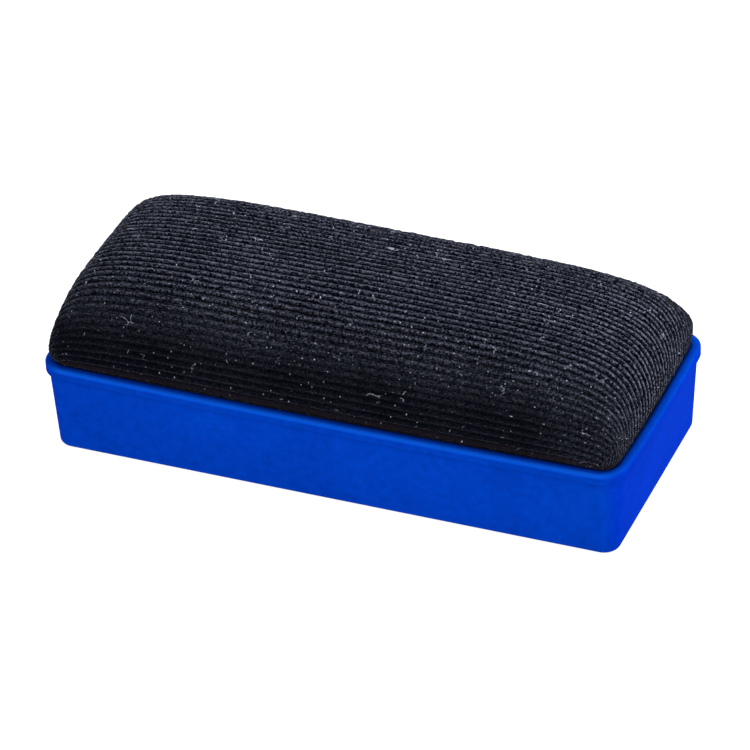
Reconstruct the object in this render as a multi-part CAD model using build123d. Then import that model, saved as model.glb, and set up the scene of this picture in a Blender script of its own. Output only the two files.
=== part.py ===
from build123d import *
from math import asin, sin
import os

# Chalkboard eraser: a moulded plastic tray that is also the hand grip, with a crowned pad pressed into it.
# Millimetres. The origin is the centre of the tray's base, +X along the length, +Z from the base to the pad.

# Tray, measured over the middles of its bowed sides
RIM_LENGTH = 150.0
RIM_WIDTH = 65.6
TRAY_HEIGHT = 24.0
WALL = 2.2
FLOOR = 2.2
DRAFT = 1.35  # how far the walls lean in from the rim to the base
RIM_BOW = 0.85  # the pad pushes the rim out by this much between the corners
RIM_CORNER = 6.5
BASE_CORNER = 4.0
BASE_ROUND = 1.3
BEAD_HEIGHT = 2.9
BEAD_REACH = 0.65  # how far the bead round the rim stands out from the wall
BEAD_ROUND = 0.55
BEAD_UNDER_ROUND = 0.3
RIM_INNER_ROUND = 0.6

# Ribs on the tray's floor, which carry the pad
RIB = 1.4
RIB_TOP = 9.6
CROSS_RIB_PITCH = 28.0
CROSS_RIBS = 5
LONG_RIB_Y = 9.0
GATE_RADIUS = 3.5
GATE_DEPTH = 0.5

# Pad: cloth stretched over foam, turned under a board and stapled to it
TOTAL_HEIGHT = 48.0
CLOTH = 1.2
CLOTH_GAP = 0.15  # between the cloth and the tray's wall
BOARD = 3.0
BOARD_CORNER = 3.0
ADHESIVE = 0.3
HEM_WIDTH = 12.5
PAD_CORNER = 4.6
CROWN_CORNER = 19.0  # the pad's corners open out to this radius towards the crown
END_SHOULDER = (5.6, 4.4)  # powers of height and length in the crown's profile along the pad
SIDE_SHOULDER = (2.8, 3.9)  # the same across the pad, where it rounds over sooner
CROWN_STEPS = 12
CROWN_TOP_SHARE = 0.998  # the crown ends in a small flat this close to its full height

# Staples and glue
STAPLE_SPAN = 10.0
STAPLE_LEG = 3.6
STAPLE_WIRE = 0.5
STAPLE_BAND = 0.7
STAPLE_BEND = 0.45
STAPLE_INSET = 6.5  # from the board's edge
SIDE_STAPLES_X = (14.0, 42.0, 62.0)
GLUE_RADIUS = 4.8
GLUE_ROUND = 0.5

hem_top = RIB_TOP + CLOTH
board_top = hem_top + BOARD
foam_bottom = board_top + ADHESIVE
wall_top_length = RIM_LENGTH / 2 - BEAD_REACH
wall_top_width = RIM_WIDTH / 2 - BEAD_REACH
cross_rib_xs = [(i - (CROSS_RIBS - 1) / 2) * CROSS_RIB_PITCH for i in range(CROSS_RIBS)]


def side(start, end, bow):
    """One side of an outline, anticlockwise from start to end, pushed outwards by bow in its middle."""
    if bow == 0:
        return Line(start, end)
    along = (Vector(*end) - Vector(*start)).normalized()
    outwards = Vector(along.Y, -along.X)
    middle = (Vector(*start) + Vector(*end)) / 2 + outwards * bow
    return ThreePointArc(start, middle, end)


def outline(half_length, half_width, corner, bow, z):
    """A rounded rectangle at height z. The half sizes are taken over its bowed sides."""
    x = half_length - bow
    y = half_width - bow
    corners = [(-x, -y), (x, -y), (x, y), (-x, y)]
    sides = [side(corners[i], corners[(i + 1) % 4], bow) for i in range(4)]
    sharp = make_face(sides)
    return Pos(0, 0, z) * fillet(sharp.vertices(), corner)


def wall_outline(z, inset):
    """The tray's wall at height z, moved inwards by inset. It leans in and loses its bow towards the base."""
    share = z / TRAY_HEIGHT
    lean = DRAFT * (1 - share)
    outer_corner = BASE_CORNER + (RIM_CORNER - BEAD_REACH - BASE_CORNER) * share
    half_length = wall_top_length - RIM_BOW * (1 - share) - lean - inset
    half_width = wall_top_width - RIM_BOW * (1 - share) - lean - inset
    return outline(half_length, half_width, outer_corner - inset, RIM_BOW * share, z)


def between(low, high, inset):
    """The solid inside the tray's wall, moved inwards by inset, from one height to another."""
    return loft([wall_outline(low, inset), wall_outline(high, inset)], ruled=True)


def rim_bead():
    """The band round the rim, with its outer edges rounded."""
    ring = outline(RIM_LENGTH / 2, RIM_WIDTH / 2, RIM_CORNER, RIM_BOW, TRAY_HEIGHT - BEAD_HEIGHT)
    bead = extrude(ring, BEAD_HEIGHT, dir=(0, 0, 1))
    bead = fillet(bead.edges().group_by(Axis.Z)[-1], BEAD_ROUND)
    return fillet(bead.edges().group_by(Axis.Z)[0], BEAD_UNDER_ROUND)


def floor_ribs():
    """Upright ribs across and along the floor, level on top."""
    height = RIB_TOP - FLOOR
    ribs = Part()
    for x in cross_rib_xs:
        ribs += Pos(x, 0, FLOOR + height / 2) * Box(RIB, RIM_WIDTH, height)
    for y in (-LONG_RIB_Y, LONG_RIB_Y):
        ribs += Pos(0, y, FLOOR + height / 2) * Box(RIM_LENGTH, RIB, height)
    return ribs & between(FLOOR, RIB_TOP, WALL)


def inner_rim_edges(body):
    """The edges round the tray's mouth: those on top that enclose the smaller area."""
    top_face = body.faces().sort_by(Axis.Z)[-1]
    return top_face.inner_wires()[0].edges()


def handle_tray():
    """The moulded tray: floor, leaning walls, bead round the rim, ribs inside, and a gate mark underneath."""
    body = between(0, TRAY_HEIGHT, 0)
    body = fillet(body.edges().group_by(Axis.Z)[0], BASE_ROUND)
    body += rim_bead()
    body -= between(FLOOR, TRAY_HEIGHT, WALL)
    body = fillet(inner_rim_edges(body), RIM_INNER_ROUND)
    body += floor_ribs()
    return body - Pos(0, 0, GATE_DEPTH / 2) * Cylinder(GATE_RADIUS, GATE_DEPTH)


def narrowing(share, height_power, reach_power):
    """How much of its foot's size the crown still has at a share of its height."""
    return (1 - share**height_power) ** (1 / reach_power)


def crown_outline(share, inset):
    """The pad above the rim, at a share of its height: steep at the foot and rounding over to a flat crown."""
    foot_length = wall_top_length - WALL - CLOTH_GAP - inset
    foot_width = wall_top_width - WALL - CLOTH_GAP - inset
    half_length = foot_length * narrowing(share, *END_SHOULDER)
    half_width = foot_width * narrowing(share, *SIDE_SHOULDER)
    corner = min(PAD_CORNER - inset + CROWN_CORNER * share, 0.9 * half_width)
    z = TRAY_HEIGHT + share * (TOTAL_HEIGHT - TRAY_HEIGHT - inset)
    return outline(half_length, half_width, corner, RIM_BOW * (1 - share), z)


def crown(inset):
    """The crowned upper half of the pad, inset from the cloth's outer face."""
    last_turn = asin(CROWN_TOP_SHARE)
    shares = [sin(last_turn * i / CROWN_STEPS) for i in range(CROWN_STEPS + 1)]
    return loft([crown_outline(share, inset) for share in shares], ruled=True)


def lower_pad(low, inset):
    """The straight lower half of the pad, inside the tray, inset from the cloth's outer face."""
    foot = wall_outline(low, WALL + CLOTH_GAP + inset).face()
    top = crown_outline(0.0, inset).face()
    return loft([foot, top], ruled=True)


def foam_pad():
    """The foam block, which fills the cloth down to the adhesive on the board."""
    return lower_pad(foam_bottom, CLOTH) + crown(CLOTH)


def board_blank(low, thickness):
    """A flat rounded rectangle that just clears the cloth turned round its edge."""
    room = wall_outline(hem_top, WALL + CLOTH_GAP + CLOTH).bounding_box().size
    blank = RectangleRounded(room.X, room.Y, BOARD_CORNER)
    return extrude(Pos(0, 0, low) * blank, thickness, dir=(0, 0, 1))


def staple():
    """A U of flat wire across X, its crown under z = 0 and its legs pointing up."""
    outside = Pos(0, (STAPLE_LEG - STAPLE_WIRE) / 2) * Rectangle(STAPLE_SPAN, STAPLE_LEG + STAPLE_WIRE)
    outside = fillet(outside.vertices().group_by(Axis.Y)[0], STAPLE_BEND)
    inside = Pos(0, STAPLE_LEG / 2) * Rectangle(STAPLE_SPAN - 2 * STAPLE_WIRE, STAPLE_LEG)
    return extrude(Plane.XZ * (outside - inside), STAPLE_BAND / 2, both=True)


def cover_staples(board):
    """Staples through the hem into the board: a row along each side and one across each end."""
    size = board.bounding_box().size
    places = []
    for y in (-size.Y / 2 + STAPLE_INSET, size.Y / 2 - STAPLE_INSET):
        places += [Pos(sign * x, y, RIB_TOP) for x in SIDE_STAPLES_X for sign in (-1, 1)]
    for x in (-size.X / 2 + STAPLE_INSET, size.X / 2 - STAPLE_INSET):
        places.append(Pos(x, 0, RIB_TOP) * Rot(0, 0, 90))
    return Compound(children=[place * staple() for place in places])


def glue_dabs():
    """Dabs of hot-melt glue squashed between the board and the crossings of the ribs."""
    dab = Pos(0, 0, RIB_TOP + CLOTH / 2) * Cylinder(GLUE_RADIUS, CLOTH)
    dab = fillet(dab.edges(), GLUE_ROUND)
    places = [Pos(x, y, 0) for x in cross_rib_xs[1:-1] for y in (-LONG_RIB_Y, LONG_RIB_Y)]
    return Compound(children=[place * dab for place in places])


def corduroy_cover(filling, board, staples):
    """The cloth: over the foam, down inside the tray, and turned under the board as a hem."""
    size = board.bounding_box().size
    opening = Pos(0, 0, RIB_TOP + CLOTH / 2) * Box(
        size.X - 2 * HEM_WIDTH, size.Y - 2 * HEM_WIDTH, CLOTH
    )
    cloth = lower_pad(RIB_TOP, 0) + crown(0)
    for inner in (*filling, opening, *staples.children):
        cloth -= inner
    return cloth


def backing_board(blank, staples):
    """The stiff board, pierced by the staples' legs."""
    for wire in staples.children:
        blank -= wire
    return blank


blank = board_blank(hem_top, BOARD)
adhesive = board_blank(board_top, ADHESIVE)
foam = foam_pad()
staples = cover_staples(blank)

nodes = {
    "handle_tray": handle_tray(),
    "backing_board": backing_board(blank, staples),
    "foam_adhesive": adhesive,
    "foam_pad": foam,
    "corduroy_cover": corduroy_cover((foam, adhesive, blank), blank, staples),
    "cover_staples": staples,
    "glue_dabs": glue_dabs(),
}

os.makedirs("parts", exist_ok=True)
for name, shape in nodes.items():
    export_step(shape, f"parts/{name}.step")
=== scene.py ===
import math

import bpy
import numpy as np
from mathutils import Matrix, Vector


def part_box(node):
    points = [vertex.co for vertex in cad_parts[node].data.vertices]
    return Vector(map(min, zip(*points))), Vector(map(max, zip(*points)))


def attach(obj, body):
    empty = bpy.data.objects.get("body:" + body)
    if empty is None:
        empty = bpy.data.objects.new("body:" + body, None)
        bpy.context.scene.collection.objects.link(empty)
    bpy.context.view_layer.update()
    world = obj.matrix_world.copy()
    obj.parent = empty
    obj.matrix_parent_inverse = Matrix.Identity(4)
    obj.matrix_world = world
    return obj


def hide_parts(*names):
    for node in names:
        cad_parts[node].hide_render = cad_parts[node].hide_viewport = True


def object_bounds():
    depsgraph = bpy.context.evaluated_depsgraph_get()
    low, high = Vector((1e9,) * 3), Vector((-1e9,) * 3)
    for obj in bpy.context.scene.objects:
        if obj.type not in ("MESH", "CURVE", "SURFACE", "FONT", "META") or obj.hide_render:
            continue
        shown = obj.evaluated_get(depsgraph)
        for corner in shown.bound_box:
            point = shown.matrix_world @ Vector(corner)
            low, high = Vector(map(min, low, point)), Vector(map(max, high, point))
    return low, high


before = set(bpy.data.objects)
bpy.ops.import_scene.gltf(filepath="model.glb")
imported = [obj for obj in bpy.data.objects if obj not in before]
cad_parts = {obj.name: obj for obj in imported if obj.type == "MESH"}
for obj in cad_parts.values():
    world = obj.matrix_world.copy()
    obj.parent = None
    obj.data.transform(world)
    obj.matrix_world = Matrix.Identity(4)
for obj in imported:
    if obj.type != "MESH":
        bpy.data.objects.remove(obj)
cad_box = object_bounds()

MM = 0.001

# Sizes read from the CAD
tray_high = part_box("handle_tray")[1]
board_low, board_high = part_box("backing_board")
cover_low, cover_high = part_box("corduroy_cover")
foam_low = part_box("foam_pad")[0]
rim_z = tray_high.z
cloth_thickness = board_low.z - cover_low.z

# The cloth's outline at the rim, and above it where it bulges and sags
RIM_BOW = 0.35 * MM
RIM_CORNER = 4.8 * MM
BULGE_CORNER = 2.5 * MM
CORNER_FADE = 3.0 * MM  # height over which the rim's corner gives way to the bulge's
BULGE_HEIGHT = 12.0 * MM
END_BULGE = 0.6 * MM
SIDE_BULGE = 0.2 * MM
OVERHANG = 0.25 * MM  # how far the cloth sags out over the rim
LEFT_OVERHANG = 1.5 * MM  # and how much more it does at the -X end
OVERHANG_HEIGHT = 4.5 * MM
OVERHANG_FOOT = 0.7 * MM
EDGE_POWER = 9  # how closely the bulge and the sag keep to the sides

# The cloth inside the tray and under the board, and the foam's lower half
TUCK_DROPS = (0.8 * MM, 2.5 * MM, 6.0 * MM)  # rings of points below the rim
HEM_BOW = 0.35 * MM
HEM_CORNER = 2.5 * MM
HEM_WIDTH = 12.5 * MM
HEM_TURN = 1.2 * MM  # radius of the cloth's turn round the board's lower edge
LEAST_TURN = 0.25 * MM
TURN_STEPS = 3
LEAST_CORNER = 0.4 * MM
WALL_CLEARANCE = 0.05 * MM
FOAM_CLEARANCE = 0.05 * MM
FOAM_DROP = 3.0 * MM  # a ring of the foam's points this far below the rim
FOAM_EDGE = 0.8 * MM  # and another this far above its base

# The tray's rim
TRAY_BOW = 0.85 * MM
TRAY_CORNER = 6.5 * MM
BEAD_HEIGHT = 2.9 * MM

# The crown's two profiles: powers of the distance from the middle and of the height
ALONG_POWERS = (4.8, 5.4)
ACROSS_POWERS = (4.4, 2.2)
CROWN_TILT = -0.039  # the pad is a little lower towards +X
PROFILE_SAMPLES = 4001

# Cloth simulation
COARSE_ALONG = 73
COARSE_ACROSS = 53
PRESSURE = 8.0
LAST_FRAME = 20
MOST_SWELL = 2.0 * MM
LEAST_SWELL = 1e-9  # only keeps a division clear of zero

# Ribs of the corduroy, which run along X
RIBS = 49
RIB_PLACES = (0.0, 0.14, 0.3, 0.5, 0.7, 0.86)  # rows of points across a rib, from its groove
RIB_LEVELS = (0.0, 0.08, 0.75, 1.0, 0.75, 0.08)  # and how high each of them stands
ROWS_PER_RIB = len(RIB_PLACES)
RIB_HEIGHT = 0.55 * MM
RIB_MIDDLE = 0.6  # share of the height that lies under the cloth's mean surface
MOST_PILE = 1.2
crown_height = cover_high.z - rim_z - (1 - RIB_MIDDLE) * RIB_HEIGHT
COLUMNS_PER_STEP = 3
USUAL_PITCH = 1.85 * MM
PITCH_SHARES = (0.25, 1.1)  # a rib's height follows its width between these shares of the usual
STRETCHES = (  # bands across the cloth: their place, their spread, and how much wider the ribs are there
    (0.09, 0.06, 0.10),
    (0.37, 0.07, 0.08),
    (0.57, 0.06, -0.10),
)
PLACE_SAMPLES = 2001

# How uneven the corduroy is. Knots are the sizes of coarse random grids that are smoothed over the cloth.
SEED = 7
TUFT_UNEVEN = 0.12  # shares of the pile's height
GRAIN_UNEVEN = 0.05
PATCH_UNEVEN = 0.06
PATCH_KNOTS = (24, 14)
SLOW_DRIFT = 0.07  # shares of a rib's width
SLOW_KNOTS = (7, 16)
QUICK_DRIFT = 0.035
QUICK_KNOTS = (48, 50)

# Studio
FLOOR_REACH = 3.0
FLOOR_GAP = 0.05 * MM  # keeps the floor clear of the tray's base

# Camera
AZIMUTH = math.radians(22.97)
ELEVATION = math.radians(34.24)
ROLL = math.radians(-2.54)
DISTANCE = 1.27834
LENS = 254.09
FRAMING = Vector((0.866, -1.079, -6.2)) * MM  # where the camera aims, from the middle of the object


# ---------------------------------------------------------------- shape of the pad

def plan(xi, eta, half_length, half_width, corner, bow):
    """Points inside a rounded rectangle with bowed sides. xi and eta run from -1 to 1 along and across it."""
    y = (half_width - bow) * eta
    into_corner = np.clip(np.abs(y) - (half_width - bow - corner), 0, corner)
    reach = half_length - bow - corner + np.sqrt(corner**2 - into_corner**2)
    return reach * xi + bow * xi * (1 - eta**2), y + bow * eta * (1 - xi**2)


def profile(share, powers):
    """Height of the crown, from 1 in the middle to 0 at the rim."""
    return (1 - np.abs(share) ** powers[0]) ** (1 / powers[1])


def even_steps(half, powers, count):
    """Values from -1 to 1 that divide a profile's curve into equal lengths."""
    share = np.sin(np.linspace(-math.pi / 2, math.pi / 2, PROFILE_SAMPLES))
    height = crown_height * profile(share, powers)
    lengths = np.hypot(np.diff(half * share), np.diff(height))
    run = np.concatenate([[0], np.cumsum(lengths)])
    steps = np.interp(np.linspace(0, run[-1], count), run, share)
    return np.clip(steps, -1, 1)


def coarse_places():
    """Places of the coarse grid's points along and across the pad, from -1 to 1."""
    return (
        even_steps(cover_high.x, ALONG_POWERS, COARSE_ALONG),
        even_steps(cover_high.y, ACROSS_POWERS, COARSE_ACROSS),
    )


def wanted_form(xi, eta):
    """The stretched cloth over the pad at xi and eta: steep over the rim, bulging a little, and crowned."""
    height = crown_height * profile(xi, ALONG_POWERS) * profile(eta, ACROSS_POWERS) * (1 + CROWN_TILT * xi)
    corner = BULGE_CORNER + (RIM_CORNER - BULGE_CORNER) * np.exp(-height / CORNER_FADE)
    x, y = plan(xi, eta, cover_high.x, cover_high.y, corner, RIM_BOW)
    bulge = np.sin(math.pi * np.clip(height / BULGE_HEIGHT, 0, 2))
    x += END_BULGE * bulge * xi**EDGE_POWER
    y += SIDE_BULGE * bulge * eta**EDGE_POWER
    return np.stack([x, y, rim_z + height], axis=-1)


def grid_faces(along, across):
    """Faces of a grid of points, looking outwards."""
    index = np.arange(along * across).reshape(along, across)
    corners = [index[:-1, :-1], index[1:, :-1], index[1:, 1:], index[:-1, 1:]]
    return np.stack(corners, axis=-1).reshape(-1, 4)


def rim_loop(along, across):
    """Grid places (i, j) round the rim, anticlockwise from above, each once."""
    front = [(i, 0) for i in range(along - 1)]
    right = [(along - 1, j) for j in range(across - 1)]
    back = [(i, across - 1) for i in range(along - 1, 0, -1)]
    left = [(0, j) for j in range(across - 1, 0, -1)]
    return front + right + back + left


def make_object(name, points, faces):
    """A new mesh object in the scene."""
    mesh = bpy.data.meshes.new(name)
    mesh.from_pydata([tuple(p) for p in points], [], [tuple(f) for f in faces])
    made = bpy.data.objects.new(name, mesh)
    bpy.context.scene.collection.objects.link(made)
    return made


def blown_tight(form):
    """The form after Blender's cloth simulation: held at the rim and pressed outwards by the foam."""
    along, across = form.shape[:2]
    cloth = make_object("cloth_form", form.reshape(-1, 3), grid_faces(along, across))
    held = cloth.vertex_groups.new(name="held_at_rim")
    held.add([i * across + j for i, j in rim_loop(along, across)], 1.0, "REPLACE")
    modifier = cloth.modifiers.new("tight_cloth", "CLOTH")
    settings = modifier.settings
    settings.quality = 6
    settings.mass = 0.3
    settings.tension_stiffness = 40
    settings.compression_stiffness = 5
    settings.shear_stiffness = 5
    settings.bending_stiffness = 20
    settings.air_damping = 2
    settings.use_pressure = True
    settings.uniform_pressure_force = PRESSURE
    settings.vertex_group_mass = "held_at_rim"
    settings.effector_weights.gravity = 0
    for number in range(1, LAST_FRAME + 1):
        bpy.context.scene.frame_set(number)
    evaluated = cloth.evaluated_get(bpy.context.evaluated_depsgraph_get())
    flat = np.zeros(along * across * 3, np.float32)
    evaluated.data.vertices.foreach_get("co", flat)
    bpy.data.objects.remove(cloth)
    bpy.context.scene.frame_set(1)
    swell = flat.reshape(form.shape).astype(float) - form
    length = np.linalg.norm(swell, axis=-1, keepdims=True)
    return form + swell * np.minimum(1, MOST_SWELL / np.maximum(length, LEAST_SWELL))


def fitted_cloth():
    """The cloth blown tight, from a form that is cut so much smaller that it swells to the wanted one."""
    wanted = wanted_form(*np.meshgrid(*coarse_places(), indexing="ij"))
    swell = blown_tight(wanted) - wanted
    return blown_tight(wanted - swell)


def smooth_at(values, places):
    """Values along the first axis at fractional places, by a smooth curve through them."""
    last = len(values) - 1
    base = np.clip(np.floor(places).astype(int), 0, last - 1)
    t = (places - base).reshape((-1,) + (1,) * (values.ndim - 1))
    before = values[np.maximum(base - 1, 0)]
    start = values[base]
    end = values[base + 1]
    after = values[np.minimum(base + 2, last)]
    slope_start = (end - before) / 2
    slope_end = (after - start) / 2
    return (
        start * (2 * t**3 - 3 * t**2 + 1)
        + slope_start * (t**3 - 2 * t**2 + t)
        + end * (3 * t**2 - 2 * t**3)
        + slope_end * (t**3 - t**2)
    )


def resampled(grid, along_places, across_places):
    """The grid of points at finer places along and across."""
    finer = smooth_at(grid, along_places)
    return smooth_at(finer.swapaxes(0, 1), across_places).swapaxes(0, 1)


def outward_normals(grid):
    """Unit normals of a grid of points, level and square to the outline round the rim."""
    normals = np.cross(np.gradient(grid, axis=0), np.gradient(grid, axis=1))
    loop = rim_loop(*grid.shape[:2])
    points = np.array([grid[place] for place in loop])
    tangents = np.roll(points, -1, axis=0) - np.roll(points, 1, axis=0)
    for place, tangent in zip(loop, tangents):
        normals[place] = (tangent[1], -tangent[0], 0)
    return normals / np.linalg.norm(normals, axis=-1, keepdims=True)


# ---------------------------------------------------------------- corduroy ribs

def rib_rows():
    """Every row of points across the cloth, counted in ribs from one rim to the other."""
    rows = [rib + place for rib in range(RIBS) for place in RIB_PLACES]
    return np.array(rows + [RIBS])


def rib_places():
    """Places of the rows across the cloth, from 0 to 1: wider apart where the cloth is drawn out most."""
    place = np.linspace(0, 1, PLACE_SAMPLES)
    width = np.ones_like(place)
    for middle, spread, share in STRETCHES:
        width += share * np.exp(-(((place - middle) / spread) ** 2))
    count = np.concatenate([[0], np.cumsum(1 / width[1:] + 1 / width[:-1])])
    return np.interp(rib_rows() / RIBS * count[-1], count, place)


def soft_noise(random, shape, knots):
    """Smooth noise of about unit size on a grid, from a coarser grid of random knots."""
    values = random.standard_normal(knots)
    along = np.linspace(0, values.shape[0] - 1, shape[0])
    across = np.linspace(0, values.shape[1] - 1, shape[1])
    return resampled(values[..., None], along, across)[..., 0]


def rib_relief(points):
    """How high the pile stands at each point of the fine grid, from 0 in a groove to 1 on a rib."""
    random = np.random.RandomState(SEED)
    along, rows = points.shape[:2]
    ridge = np.array(RIB_LEVELS * RIBS + RIB_LEVELS[:1])
    tufts = random.standard_normal((along, RIBS + 1))[:, rib_rows().astype(int)]
    grain = random.standard_normal((along, rows))
    patches = soft_noise(random, (along, rows), PATCH_KNOTS)
    pile = 1 + TUFT_UNEVEN * tufts + GRAIN_UNEVEN * grain + PATCH_UNEVEN * patches
    return ridge[None, :] * np.clip(pile, 0, MOST_PILE)


def overhung(points, xi, eta):
    """The fine grid with the cloth's foot sagging out over the rim, more at the -X end."""
    height = points[..., 2] - rim_z
    sag = np.exp(-((height / OVERHANG_HEIGHT) ** 2)) * (1 - np.exp(-height / OVERHANG_FOOT))
    along, across = np.meshgrid(xi, eta, indexing="ij")
    points = points.copy()
    points[..., 0] += (OVERHANG + LEFT_OVERHANG * (along < 0)) * sag * along**EDGE_POWER
    points[..., 1] += OVERHANG * sag * across**EDGE_POWER
    return points


def local_pitch(points):
    """Distance between neighbouring ribs at each point."""
    return np.linalg.norm(np.gradient(points, rib_rows(), axis=1), axis=-1)


def wandering(points):
    """The fine grid with its ribs drifting a little sideways, as woven ribs do."""
    random = np.random.RandomState(SEED + 1)
    slow = soft_noise(random, points.shape[:2], SLOW_KNOTS)
    quick = soft_noise(random, points.shape[:2], QUICK_KNOTS)
    drift = SLOW_DRIFT * slow + QUICK_DRIFT * quick
    fade = np.sin(np.linspace(0, math.pi, points.shape[1])) ** 0.5
    across = np.gradient(points, rib_rows(), axis=1)
    return points + across * (drift * fade)[..., None]


# ---------------------------------------------------------------- pieces

def tuck_outline(share_down):
    """Sizes of the cloth's outline inside the tray, from the rim (0) to the turn under the board (1)."""
    def part_way(top, bottom):
        return top + (bottom - top) * share_down
    return (
        part_way(cover_high.x, board_high.x + cloth_thickness) - WALL_CLEARANCE,
        part_way(cover_high.y, board_high.y + cloth_thickness) - WALL_CLEARANCE,
        part_way(RIM_CORNER, HEM_CORNER),
        part_way(RIM_BOW, HEM_BOW),
    )


def tuck_ring(xi, eta, z, inset):
    """A ring of the cloth inside the tray at height z, moved inwards by inset."""
    share_down = (rim_z - z) / (rim_z - board_low.z)
    half_length, half_width, corner, bow = tuck_outline(min(share_down, 1))
    corner = max(corner - inset, LEAST_CORNER)
    x, y = plan(xi, eta, half_length - inset, half_width - inset, corner, bow)
    return np.stack([x, y, np.full_like(x, z)], axis=-1)


def tuck_steps(thickness):
    """Heights and insets of the cloth's rings inside the tray, for a face at this depth in its thickness."""
    bottom = cover_low.z + thickness
    turn = max(HEM_TURN - thickness, LEAST_TURN)
    steps = [(rim_z - drop, thickness) for drop in TUCK_DROPS]
    for step in range(TURN_STEPS + 1):
        angle = step * math.pi / 2 / TURN_STEPS
        steps.append((bottom + turn * (1 - math.sin(angle)), thickness + turn * (1 - math.cos(angle))))
    steps.append((bottom, cloth_thickness + HEM_WIDTH / 2))
    steps.append((bottom, cloth_thickness + HEM_WIDTH))
    return steps


def with_rings(grid, places, steps, inwards=False):
    """A grid with rings added below its rim, one for each height and inset: points, faces and last ring."""
    along, across = grid.shape[:2]
    points = list(grid.reshape(-1, 3))
    faces = [tuple(face) for face in grid_faces(along, across)]
    loop = rim_loop(along, across)
    xi = np.array([places[0][i] for i, j in loop])
    eta = np.array([places[1][j] for i, j in loop])
    previous = [i * across + j for i, j in loop]
    for z, inset in steps:
        ring = list(range(len(points), len(points) + len(loop)))
        points.extend(tuck_ring(xi, eta, z, inset))
        for k in range(len(loop)):
            after = (k + 1) % len(loop)
            faces.append((previous[k], ring[k], ring[after], previous[after]))
        previous = ring
    if inwards:
        faces = [face[::-1] for face in faces]
    return points, faces, previous


def corduroy_cover(surface):
    """The cloth with its ribs, its tuck into the tray and its hem, closed by a plain inner face."""
    along_places = np.linspace(0, COARSE_ALONG - 1, (COARSE_ALONG - 1) * COLUMNS_PER_STEP + 1)
    across_places = rib_places() * (COARSE_ACROSS - 1)
    coarse_xi, coarse_eta = coarse_places()
    xi = np.interp(along_places, range(COARSE_ALONG), coarse_xi)
    eta = np.interp(across_places, range(COARSE_ACROSS), coarse_eta)
    base = overhung(wandering(resampled(surface, along_places, across_places)), xi, eta)
    normals = outward_normals(base)
    relief = rib_relief(base)
    height = RIB_HEIGHT * np.clip(local_pitch(base) / USUAL_PITCH, *PITCH_SHARES)
    outer = base + normals * (height * (relief - RIB_MIDDLE))[..., None]
    inner = (base - normals * cloth_thickness)[::COLUMNS_PER_STEP, ::ROWS_PER_RIB]

    points, faces, outer_ring = with_rings(outer, (xi, eta), tuck_steps(0.0))
    inner_places = (xi[::COLUMNS_PER_STEP], eta[::ROWS_PER_RIB])
    inner_steps = tuck_steps(cloth_thickness)
    inner_points, inner_faces, inner_ring = with_rings(inner, inner_places, inner_steps, inwards=True)
    first = len(points)
    points.extend(inner_points)
    faces.extend(tuple(first + v for v in face) for face in inner_faces)
    faces.extend(hem_edge(outer_ring, [first + v for v in inner_ring], outer.shape[:2], inner.shape[:2]))
    cover = make_object("cover_cloth", points, faces)
    add_weave_places(cover, base, relief)
    cover.data.shade_smooth()
    return cover


def hem_edge(outer_ring, inner_ring, outer_shape, inner_shape):
    """Faces that close the hem's cut edge: each joins one step of the inner ring to the finer outer ring."""
    order = {place: k for k, place in enumerate(rim_loop(*outer_shape))}
    starts = [order[(i * COLUMNS_PER_STEP, j * ROWS_PER_RIB)] for i, j in rim_loop(*inner_shape)]
    faces = []
    for k, start in enumerate(starts):
        after = (k + 1) % len(starts)
        count = (starts[after] - start) % len(outer_ring)
        fine = [outer_ring[(start + step) % len(outer_ring)] for step in range(count + 1)]
        faces.append((*fine[::-1], inner_ring[k], inner_ring[after]))
    return faces


def add_weave_places(cover, base, relief):
    """Stores each outer point's place in ribs, along and across the cloth, and how high its pile stands."""
    along, rows = relief.shape
    steps = np.linalg.norm(np.diff(base[:, rows // 2], axis=0), axis=-1)
    run = np.concatenate([[0], np.cumsum(steps)]) / USUAL_PITCH
    place = np.stack(np.meshgrid(run, rib_rows(), indexing="ij") + [relief], axis=-1)
    values = np.zeros((len(cover.data.vertices), 3))
    values[: along * rows] = place.reshape(-1, 3)
    attribute = cover.data.attributes.new("weave", "FLOAT_VECTOR", "POINT")
    attribute.data.foreach_set("vector", values.ravel())


def foam_block(surface):
    """The foam under the cloth, flat underneath where it is glued to the board."""
    inset = cloth_thickness + FOAM_CLEARANCE
    grid = surface - outward_normals(surface) * inset
    heights = (rim_z - FOAM_DROP, foam_low.z + FOAM_EDGE, foam_low.z)
    points, faces, bottom = with_rings(grid, coarse_places(), [(z, inset) for z in heights])
    faces.append(tuple(bottom[::-1]))
    foam = make_object("foam_block", points, faces)
    foam.data.shade_smooth()
    return foam


# ---------------------------------------------------------------- materials

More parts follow.
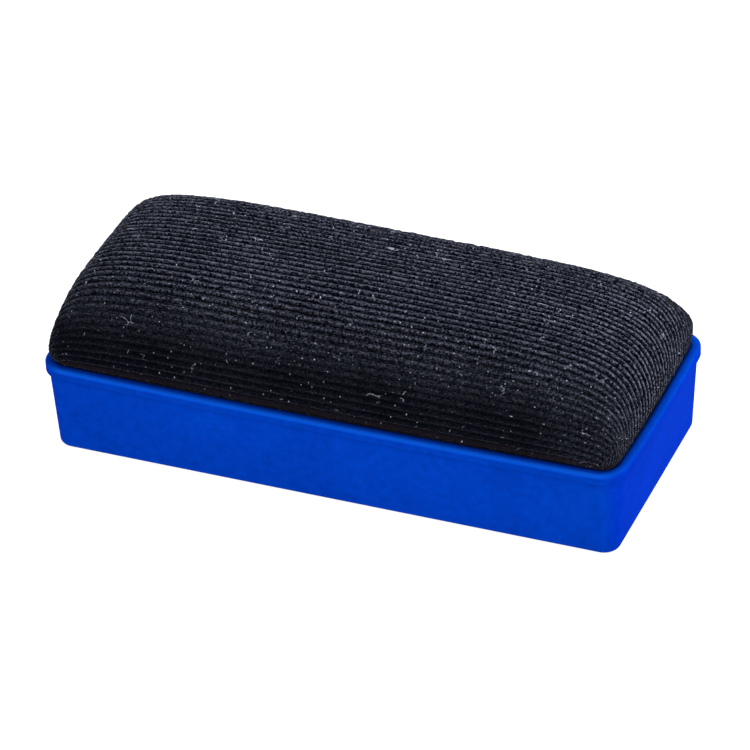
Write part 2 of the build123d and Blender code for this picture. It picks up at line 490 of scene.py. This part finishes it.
class Nodes:
    """A short way to write a node material."""

    def __init__(self, name):
        self.material = bpy.data.materials.new(name)
        self.material.use_nodes = True
        self.tree = self.material.node_tree
        self.shader = self.tree.nodes["Principled BSDF"]
        self.place = self.add("ShaderNodeTexCoord").outputs["Object"]

    def add(self, kind, inputs=None, **settings):
        """A node with its settings made and its inputs linked or set."""
        node = self.tree.nodes.new(kind)
        for name, value in settings.items():
            setattr(node, name, value)
        for name, value in (inputs or {}).items():
            self.put(node.inputs[name], value)
        return node

    def put(self, socket, value):
        """Links an output to a socket, or sets the socket's own value."""
        if isinstance(value, bpy.types.NodeSocket):
            self.tree.links.new(value, socket)
        else:
            socket.default_value = value

    def set(self, **inputs):
        """Inputs of the shader, with spaces written as underscores."""
        for name, value in inputs.items():
            self.put(self.shader.inputs[name.replace("_", " ")], value)

    def noise(self, scale, detail, roughness, place=None):
        """Noise from 0 to 1, at this many waves to a metre, or to a unit of another place."""
        inputs = {"Vector": place or self.place, "Scale": scale, "Detail": detail, "Roughness": roughness}
        return self.add("ShaderNodeTexNoise", inputs).outputs["Fac"]

    def between(self, value, low, high, to_low=0.0, to_high=1.0):
        """A number carried from one range over to another, and held inside it."""
        inputs = {"Value": value, "From Min": low, "From Max": high, "To Min": to_low, "To Max": to_high}
        return self.add("ShaderNodeMapRange", inputs).outputs["Result"]

    def fade(self, share, at_none, at_full):
        """A number that goes from one value to another as a share goes from 0 to 1."""
        return self.between(share, 0.0, 1.0, at_none, at_full)

    def split(self, vector):
        """A vector's X, Y and Z."""
        return self.add("ShaderNodeSeparateXYZ", {"Vector": vector}).outputs

    def calculate(self, operation, first, second=0.0):
        """The result of one Math node."""
        node = self.add("ShaderNodeMath", operation=operation)
        self.put(node.inputs[0], first)
        self.put(node.inputs[1], second)
        return node.outputs[0]

    def times(self, first, *others):
        """The product of two or more numbers."""
        for other in others:
            first = self.calculate("MULTIPLY", first, other)
        return first

    def distance(self, first, second):
        """How far apart two numbers are."""
        return self.calculate("ABSOLUTE", self.calculate("SUBTRACT", first, second))

    def mix(self, share, first, second):
        """A colour between two others. The colours' sockets have the same names as others in this node."""
        node = self.add("ShaderNodeMix", data_type="RGBA")
        self.put(node.inputs[0], share)
        self.put(node.inputs[6], first)
        self.put(node.inputs[7], second)
        return node.outputs[2]

    def scaled(self, vector, factors):
        """A vector or a colour times a factor for each of its three parts."""
        node = self.add("ShaderNodeVectorMath", operation="MULTIPLY")
        self.put(node.inputs[0], vector)
        self.put(node.inputs[1], factors)
        return node.outputs[0]

    def bump(self, height, distance, strength, normal=None):
        """The surface's normal, with a height from 0 to 1 standing this distance out of it."""
        inputs = {"Height": height, "Distance": distance, "Strength": strength}
        if normal is not None:
            inputs["Normal"] = normal
        return self.add("ShaderNodeBump", inputs).outputs["Normal"]


def corduroy_material():
    """Black cut pile: tufts in rows on each rib, dark lines of painted groove shadow between the ribs,
    painted shade low down and on the long flanks, painted light at the +X end, and stray pale lint.
    """
    n = Nodes("black_corduroy_cloth")
    weave = n.add("ShaderNodeAttribute", attribute_name="weave").outputs["Vector"]
    tufts_to_rib = (1.8, 4.0, 0.0)
    tufts = n.noise(1.0, 2.0, 0.6, n.scaled(weave, tufts_to_rib))
    fibres = n.noise(1900.0, 1.0, 0.6)
    patches = n.noise(60.0, 3.0, 0.55)
    low, flank_shade, end_light = cloth_zones(n)
    pile = n.times(
        rib_shade(n, weave, low, flank_shade, end_light),
        n.between(tufts, 0.37, 0.65, 0.42, 0.72),
        n.between(fibres, 0.4, 0.72, n.fade(flank_shade, 0.0, 0.3), n.fade(flank_shade, 1.9, 1.45)),
        n.between(patches, 0.35, 0.7, 0.75, 1.25),
        # painted shade low down and on the long flanks, painted light at the +X end
        n.fade(low, 1.0, 0.85),
        n.fade(flank_shade, 1.0, 0.19),
        n.fade(end_light, 1.0, 1.45),
    )
    black = (0.0001, 0.0004, 0.0026, 1)
    pale_pile = (0.142, 0.155, 0.213, 1)
    brownish_foot = (0.03, 0.022, 0.026, 1)
    pale_lint = (0.7, 0.75, 0.9, 1)
    foot = n.between(n.split(n.place)["Z"], rim_z + 2.4 * MM, rim_z + 0.6 * MM, 0.0, 0.5)
    cloth = n.mix(pile, black, pale_pile)
    # towards its foot at the rim the pile is mixed half-way to a plain dull brown
    cloth = n.mix(foot, cloth, brownish_foot)
    cloth = n.mix(lint(n, weave), cloth, pale_lint)
    n.set(Base_Color=cloth, Roughness=0.95, Specular_IOR_Level=0.005)
    n.set(Sheen_Weight=0.38, Sheen_Roughness=0.3, Sheen_Tint=(0.75, 0.78, 1.0, 1))
    fine = n.bump(fibres, 0.2 * MM, 0.9)
    n.set(Normal=n.bump(tufts, 0.3 * MM, 0.7, fine))
    return n.material


def cloth_zones(n):
    """Where the cloth gets painted shade low down and on its long flanks, with the ribs flattened there, and
    painted light at its +X end: each from 0 to 1.
    """
    place = n.split(n.place)
    low = n.between(place["Z"], rim_z + 0.9 * crown_height, rim_z + 0.1 * crown_height)
    flank = n.between(place["Z"], rim_z + 0.98 * crown_height, rim_z + 0.4 * crown_height)
    beside = n.between(n.distance(place["Y"], 0.0), 0.3 * cover_high.y, 0.8 * cover_high.y)
    end_light = n.between(place["X"], 0.7 * cover_high.x, 0.95 * cover_high.x)
    flank_shade = n.times(flank, beside, n.fade(end_light, 1.0, 0.5))
    return low, flank_shade, end_light


def rib_shade(n, weave, low, flank_shade, end_light):
    """How pale the pile is across a rib: dim in the groove, dark in the line beside it, and full on top. The
    dark line is painted groove shadow.
    """
    from_groove = n.calculate("PINGPONG", n.split(weave)["Y"], 0.5)
    # painted shade: the groove is darker low down and at the +X end, and paler on the flanks where the ribs
    # are flattened
    dim = n.calculate("ADD", n.between(low, 0.0, 0.7, 0.42, 0.22), n.between(flank_shade, 0.0, 0.5, 0.0, 0.45))
    dim = n.times(dim, n.fade(end_light, 1.0, 0.65))
    in_line = n.between(flank_shade, 0.0, 0.8, 0.0, 0.55)
    # the dark line beside the groove is painted groove shadow
    out_of_line = n.between(n.distance(from_groove, RIB_PLACES[1]), 0.03, 0.1, in_line)
    up_rib = n.calculate("SUBTRACT", from_groove, n.fade(flank_shade, 0.24, 0.38))
    return n.calculate("MAXIMUM", n.times(out_of_line, dim), n.between(up_rib, 0.0, 0.18))


def lint(n, weave):
    """Specks and short fibres of lint, scattered over the cloth: 1 on lint and 0 elsewhere."""
    kinds = (  # cells to a rib, a speck's size, share of cells with none, turn, and stretch
        (0.6, 0.07, 0.74, 0.0, (1.0, 1.0, 0.0)),
        (1.1, 0.1, 0.84, 0.3, (1.0, 1.0, 0.0)),
        (0.3, 0.028, 0.78, 0.6, (0.4, 1.7, 0.0)),
    )
    specks = 0.0
    for scale, size, rare, angle, stretch in kinds:
        inputs = {"Vector": weave, "Angle": angle}
        turned = n.add("ShaderNodeVectorRotate", inputs, rotation_type="Z_AXIS").outputs[0]
        inputs = {"Vector": n.scaled(turned, stretch), "Scale": scale}
        cells = n.add("ShaderNodeTexVoronoi", inputs, voronoi_dimensions="2D")
        chosen = n.add("ShaderNodeSeparateColor", {"Color": cells.outputs["Color"]}).outputs["Red"]
        near = n.between(cells.outputs["Distance"], size, size * 0.4)
        specks = n.calculate("MAXIMUM", specks, n.times(near, n.between(chosen, rare, 1.0)))
    crowded = n.between(n.noise(0.14, 1.0, 0.5, weave), 0.38, 0.54)
    return n.calculate("MAXIMUM", n.times(specks, crowded), lint_fibres(n, weave))


def lint_fibres(n, weave):
    """Short curved hairs: pieces of a bent network of thin lines, each shown only here and there."""
    bend = n.add("ShaderNodeTexNoise", {"Vector": weave, "Scale": 0.9, "Detail": 1.0}).outputs["Color"]
    most_bend = (1.6, 1.6, 0.0)
    bent = n.add("ShaderNodeVectorMath", operation="ADD")
    n.put(bent.inputs[0], n.scaled(bend, most_bend))
    n.put(bent.inputs[1], weave)
    inputs = {"Vector": bent.outputs[0], "Scale": 0.33}
    network = n.add("ShaderNodeTexVoronoi", inputs, voronoi_dimensions="2D", feature="DISTANCE_TO_EDGE")
    line = n.between(network.outputs["Distance"], 0.024, 0.008)
    shown = n.between(n.noise(0.42, 0.0, 0.5, weave), 0.71, 0.75, 0.0, 0.5)
    return n.times(line, shown)


def rim_inset(n):
    """How far inside the rim's outer edge a point lies, seen from above."""
    place = n.split(n.place)
    x = n.distance(place["X"], 0.0)
    y = n.distance(place["Y"], 0.0)
    past_x = past_corner(n, x, y, tray_high.x, tray_high.y)
    past_y = past_corner(n, y, x, tray_high.y, tray_high.x)
    round_x = n.calculate("POWER", n.calculate("MAXIMUM", past_x, 0.0), 2.0)
    round_y = n.calculate("POWER", n.calculate("MAXIMUM", past_y, 0.0), 2.0)
    out = n.calculate("SQRT", n.calculate("ADD", round_x, round_y))
    within = n.calculate("MINIMUM", n.calculate("MAXIMUM", past_x, past_y), 0.0)
    return n.calculate("SUBTRACT", TRAY_CORNER, n.calculate("ADD", out, within))


def past_corner(n, reach, beside, reach_high, beside_high):
    """How far out a point is past the middle of the rim's corner, one way, with the sides' bow taken off."""
    bow = n.times(n.calculate("POWER", n.calculate("DIVIDE", beside, beside_high), 2.0), TRAY_BOW)
    return n.calculate("SUBTRACT", n.calculate("ADD", reach, bow), reach_high - TRAY_CORNER)


def blue_plastic_material():
    """Saturated blue moulded plastic: satin and faintly mottled, with a painted highlight on the rim's edge,
    painted shade beside the cloth, under the bead and at the foot, and a painted purer blue on its ends.
    """
    n = Nodes("moulded_blue_plastic")
    mottle = n.noise(420.0, 3.0, 0.7)
    cloudy = n.noise(45.0, 2.0, 0.5)
    grain = n.noise(1300.0, 3.0, 0.6)
    inset = rim_inset(n)
    deep_blue = (0.0003, 0.039, 0.42, 1)
    blue = (0.0005, 0.061, 0.59, 1)
    highlight_blue = (0.003, 0.11, 0.8, 1)
    shaded_blue = (0.0003, 0.006, 0.05, 1)
    end_tint = (0.4, 0.66, 1.0)
    shade = n.calculate("ADD", n.between(mottle, 0.3, 0.7, 0.0, 0.6), n.between(cloudy, 0.3, 0.7, 0.0, 0.4))
    colour = n.mix(shade, deep_blue, blue)
    # painted highlight along the rim's outer edge
    colour = n.mix(painted_rim_highlight(n, inset), colour, highlight_blue)
    # painted shade beside the cloth, in the crease under the bead and at the foot
    colour = n.mix(painted_shade(n, inset), colour, shaded_blue)
    # painted light: faces along X get a purer, less green blue
    colour = n.mix(painted_end_tint(n), colour, n.scaled(colour, end_tint))
    n.set(Base_Color=colour, Roughness=n.between(mottle, 0.3, 0.7, 0.48, 0.56))
    n.set(Specular_IOR_Level=0.0005)
    fine = n.bump(grain, 0.04 * MM, 0.6)
    n.set(Normal=n.bump(mottle, 0.08 * MM, 0.35, fine))
    return n.material


def painted_rim_highlight(n, inset):
    """Painted highlight along the rim's outer edge, fainter at the ends: 0 to 1."""
    place = n.split(n.place)
    along = n.distance(place["X"], 0.0)
    return n.times(
        n.between(inset, 1.2 * MM, 0.5 * MM),
        n.between(place["Z"], rim_z - 1.1 * MM, rim_z - 0.3 * MM),
        n.between(along, tray_high.x - 6 * MM, tray_high.x - 2 * MM, 1.0, 0.2),
    )


def painted_shade(n, inset):
    """Painted shade beside the cloth, in the crease under the rim's bead and at the foot, which takes in the
    whole underside: 0 to 1.
    """
    up = n.split(n.place)["Z"]
    by_cloth = n.times(
        n.between(inset, 1.4 * MM, 2.3 * MM),
        n.between(up, rim_z - 0.5 * MM, rim_z - 0.2 * MM),
    )
    in_crease = n.between(n.distance(up, rim_z - BEAD_HEIGHT), 0.45 * MM, 0.1 * MM, 0.0, 0.4)
    at_foot = n.between(up, 0.9 * MM, 0.3 * MM, 0.0, 0.8)
    deepest_shade = n.calculate("MAXIMUM", n.calculate("MAXIMUM", by_cloth, in_crease), at_foot)
    return n.times(deepest_shade, 0.85)


def painted_end_tint(n):
    """How squarely a face looks along X, as the tray's ends do, for the painted purer blue that stands for
    the light on the ends: 0 to 1.
    """
    facing = n.split(n.add("ShaderNodeTexCoord").outputs["Normal"])
    return n.between(n.distance(facing["X"], 0.0), 0.3, 0.9)


def foam_material():
    """Open-cell foam: pale, with painted shade in its small pores."""
    n = Nodes("open_cell_foam")
    cells = n.add("ShaderNodeTexVoronoi", {"Vector": n.place, "Scale": 900.0}).outputs["Distance"]
    pores = n.between(cells, 0.15, 0.5)
    pore_shade = (0.32, 0.29, 0.2, 1)
    pale_foam = (0.86, 0.82, 0.66, 1)
    # painted shade in the pores
    colour = n.mix(pores, pore_shade, pale_foam)
    n.set(Base_Color=colour, Roughness=0.95, Specular_IOR_Level=0.15)
    n.set(Normal=n.bump(pores, 0.3 * MM, 0.8))
    return n.material


def hardboard_material():
    """Brown hardboard with fine pressed fibres."""
    n = Nodes("pressed_hardboard")
    fibres = n.noise(700.0, 5.0, 0.65, n.scaled(n.place, (0.5, 1.0, 1.0)))
    flecks = n.noise(160.0, 3.0, 0.6)
    dark_brown = (0.17, 0.095, 0.045, 1)
    brown = (0.4, 0.26, 0.14, 1)
    pale_fleck = (0.5, 0.36, 0.2, 1)
    colour = n.mix(n.between(fibres, 0.3, 0.7), dark_brown, brown)
    colour = n.mix(n.between(flecks, 0.55, 0.7, 0.0, 0.5), colour, pale_fleck)
    n.set(Base_Color=colour, Roughness=n.between(fibres, 0.3, 0.7, 0.6, 0.8))
    n.set(Normal=n.bump(fibres, 0.08 * MM, 0.6))
    return n.material


def adhesive_material():
    """A dried film of amber contact adhesive, brushed on unevenly."""
    n = Nodes("dried_contact_adhesive")
    brushed = n.noise(180.0, 4.0, 0.6, n.scaled(n.place, (0.2, 1.0, 1.0)))
    thick_amber = (0.5, 0.36, 0.14, 1)
    thin_amber = (0.78, 0.66, 0.4, 1)
    colour = n.mix(n.between(brushed, 0.3, 0.7), thick_amber, thin_amber)
    n.set(Base_Color=colour, Roughness=n.between(brushed, 0.3, 0.7, 0.3, 0.55))
    n.set(Normal=n.bump(brushed, 0.1 * MM, 0.6))
    return n.material


def staple_material():
    """Bright drawn wire with fine lines and dulled spots."""
    n = Nodes("zinc_staple_wire")
    drawn = n.noise(2500.0, 2.0, 0.5, n.scaled(n.place, (0.15, 1.0, 1.0)))
    dulled = n.noise(500.0, 3.0, 0.6)
    bright_zinc = (0.72, 0.73, 0.74, 1)
    dull_zinc = (0.42, 0.42, 0.41, 1)
    colour = n.mix(n.between(dulled, 0.45, 0.75), bright_zinc, dull_zinc)
    n.set(Base_Color=colour, Metallic=1.0, Roughness=n.between(drawn, 0.3, 0.7, 0.25, 0.42))
    n.set(Normal=n.bump(drawn, 0.02 * MM, 0.5))
    return n.material


def glue_material():
    """Cloudy hot-melt glue with small bubbles."""
    n = Nodes("cloudy_hot_melt_glue")
    cloudy = n.noise(350.0, 3.0, 0.55)
    bubbles = n.add("ShaderNodeTexVoronoi", {"Vector": n.place, "Scale": 800.0}).outputs["Distance"]
    amber_glue = (0.72, 0.66, 0.48, 1)
    milky_glue = (0.88, 0.85, 0.74, 1)
    colour = n.mix(n.between(cloudy, 0.3, 0.7), amber_glue, milky_glue)
    n.set(Base_Color=colour, Roughness=n.between(cloudy, 0.3, 0.7, 0.22, 0.35))
    n.set(Subsurface_Weight=0.3, Subsurface_Scale=0.002)
    n.set(Normal=n.bump(n.between(bubbles, 0.1, 0.3), 0.05 * MM, 0.5))
    return n.material


def floor_material():
    """Plain white studio floor with the faintest tooth."""
    n = Nodes("studio_floor")
    tooth = n.noise(40.0, 3.0, 0.5)
    grey = (0.42, 0.42, 0.42, 1)
    pale_grey = (0.44, 0.44, 0.44, 1)
    n.set(Base_Color=n.mix(tooth, grey, pale_grey), Roughness=0.9, Specular_IOR_Level=0.1)
    n.set(Emission_Color=(1, 1, 1, 1), Emission_Strength=0.9)
    return n.material


def give_material(piece, material):
    """Puts one material on a piece, in place of what it had."""
    piece.data.materials.clear()
    piece.data.materials.append(material)


# ---------------------------------------------------------------- studio

def camera_axes():
    """The camera's right, up and backward directions."""
    right = Vector((math.cos(AZIMUTH), math.sin(AZIMUTH), 0))
    back = Vector((
        math.sin(AZIMUTH) * math.cos(ELEVATION),
        -math.cos(AZIMUTH) * math.cos(ELEVATION),
        math.sin(ELEVATION),
    ))
    up = back.cross(right)
    turned_right = right * math.cos(ROLL) + up * math.sin(ROLL)
    turned_up = up * math.cos(ROLL) - right * math.sin(ROLL)
    return turned_right, turned_up, back


def make_camera():
    """The camera, far off with a long lens."""
    right, up, back = camera_axes()
    middle = (cad_box[0] + cad_box[1]) / 2
    camera = bpy.data.objects.new("camera", bpy.data.cameras.new("camera"))
    camera.data.lens = LENS
    camera.data.sensor_width = 36.0
    camera.data.clip_end = 20.0
    turn = Matrix((right, up, back)).transposed().to_4x4()
    camera.matrix_world = Matrix.Translation(middle + FRAMING + back * DISTANCE) @ turn
    bpy.context.scene.collection.objects.link(camera)
    bpy.context.scene.camera = camera


def make_floor():
    """A wide level floor."""
    sides = ((-1, -1), (1, -1), (1, 1), (-1, 1))
    corners = [(x * FLOOR_REACH, y * FLOOR_REACH, -FLOOR_GAP) for x, y in sides]
    floor = make_object("studio_floor", corners, [(0, 1, 2, 3)])
    give_material(floor, floor_material())


def make_softbox(name, place, width, height, watts):
    """A soft area light that faces the object."""
    data = bpy.data.lights.new(name, "AREA")
    data.shape = "RECTANGLE"
    data.size = width
    data.size_y = height
    data.energy = watts
    light = bpy.data.objects.new(name, data)
    aim = -Vector(place)
    light.matrix_world = Matrix.Translation(place) @ aim.to_track_quat("-Z", "Y").to_matrix().to_4x4()
    bpy.context.scene.collection.objects.link(light)


def make_lights():
    """A pale even surround and three soft lights, from in front, above and the right."""
    world = bpy.data.worlds.new("studio")
    world.use_nodes = True
    background = world.node_tree.nodes["Background"]
    background.inputs["Color"].default_value = (0.97, 0.985, 1.0, 1)
    background.inputs["Strength"].default_value = 0.22
    bpy.context.scene.world = world
    make_softbox("key_softbox", place=(-0.2, -0.62, 0.84), width=0.45, height=0.35, watts=2.6)
    make_softbox("overhead_softbox", place=(0.15, 0.45, 1.0), width=0.7, height=0.5, watts=10.0)
    make_softbox("right_softbox", place=(0.95, 0.0, 0.4), width=0.5, height=0.4, watts=3.4)
    bpy.context.scene.view_settings.view_transform = "Standard"


# ---------------------------------------------------------------- the eraser

make_camera()
make_floor()
make_lights()

surface = fitted_cloth()
cover = corduroy_cover(surface)
foam = foam_block(surface)
give_material(cover, corduroy_material())
give_material(foam, foam_material())

soft_pieces = ((cover, "corduroy_cover", "black_corduroy"), (foam, "foam_pad", "foam"))
for piece, node, slot in soft_pieces:
    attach(piece, "root")
    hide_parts(node)

cad_materials = {
    "handle_tray": blue_plastic_material,
    "backing_board": hardboard_material,
    "foam_adhesive": adhesive_material,
    "cover_staples": staple_material,
    "glue_dabs": glue_material,
}
for node, make_material in cad_materials.items():
    give_material(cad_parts[node], make_material())
